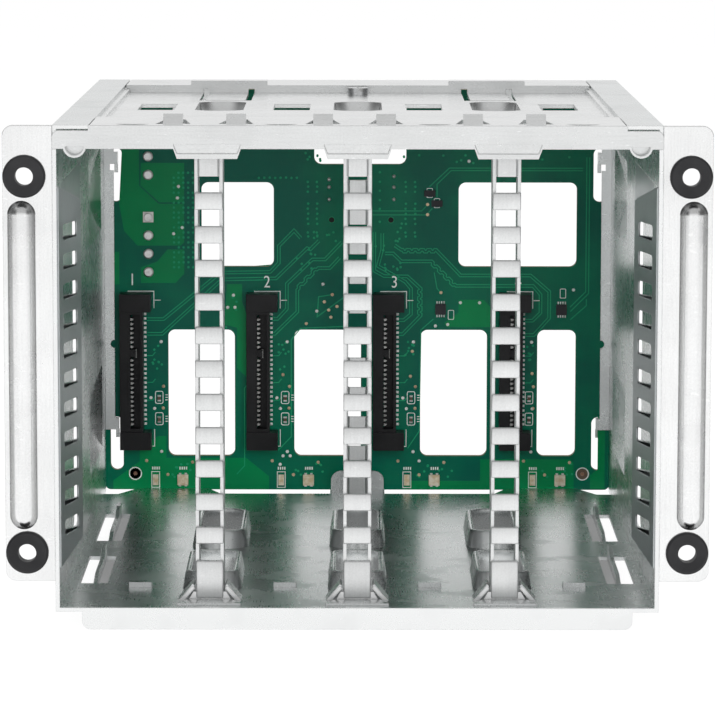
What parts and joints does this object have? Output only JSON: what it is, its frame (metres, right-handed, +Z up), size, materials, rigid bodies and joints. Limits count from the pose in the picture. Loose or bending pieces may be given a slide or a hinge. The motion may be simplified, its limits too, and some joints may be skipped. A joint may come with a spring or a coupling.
{
  "type": "drive backplane cage",
  "caption": "Folded sheet-metal cage with ladder posts between drive bays, side mounting ears and a green backplane board with drive receptacles across its rear.",
  "frame": {"origin": "middle of the floor's front edge, on the top face of the floor sheet", "axes": "+X across to the right seen from the front, +Y back through the bays to the board, +Z up"},
  "size_m": [0.1652, 0.1891, 0.1211],
  "materials": {
    "cage_sheet": "zinc-plated steel sheet, satin",
    "post_sheet": "bright zinc-plated steel sheet",
    "ear_sheet": "bright zinc-plated steel sheet",
    "grommet_rubber": "black rubber",
    "board_laminate": "green solder mask on glass laminate",
    "chip_mould": "black moulded epoxy",
    "passive_ceramic": "ceramic with tinned ends",
    "screw_steel": "nickel-plated steel",
    "connector_black": "black moulded thermoplastic",
    "shell_plate": "nickel-plated shell",
    "inlet_nylon": "natural nylon",
    "pin_plate": "tin-plated brass",
    "light_lens": "clear epoxy lens on white body",
    "contact_gold": "gold-plated spring contacts"
  },
  "bodies": {
    "root": {"backplane_board": "board_laminate", "board_chips": "chip_mould", "board_chips_small": "chip_mould", "board_passives": "passive_ceramic", "board_screws": "screw_steel", "cage_shell": "cage_sheet", "data_receptacle_core": "connector_black", "data_receptacle_shell": "shell_plate", "drive_receptacle_1": "connector_black", "drive_receptacle_2": "connector_black", "drive_receptacle_3": "connector_black", "drive_receptacle_4": "connector_black", "ear_bracket_left": "ear_sheet", "ear_bracket_right": "ear_sheet", "ear_grommets": "grommet_rubber", "post_1": "post_sheet", "post_2": "post_sheet", "post_3": "post_sheet", "post_screw": "screw_steel", "power_inlet_lower": "inlet_nylon", "power_inlet_upper": "inlet_nylon", "power_pins_lower": "pin_plate", "power_pins_upper": "pin_plate", "rear_post": "post_sheet", "receptacle_contacts_1": "contact_gold", "receptacle_contacts_2": "contact_gold", "receptacle_contacts_3": "contact_gold", "receptacle_contacts_4": "contact_gold", "status_lights_narrow": "light_lens", "status_lights_square": "light_lens", "top_panel": "cage_sheet"}
  },
  "joints": []
}
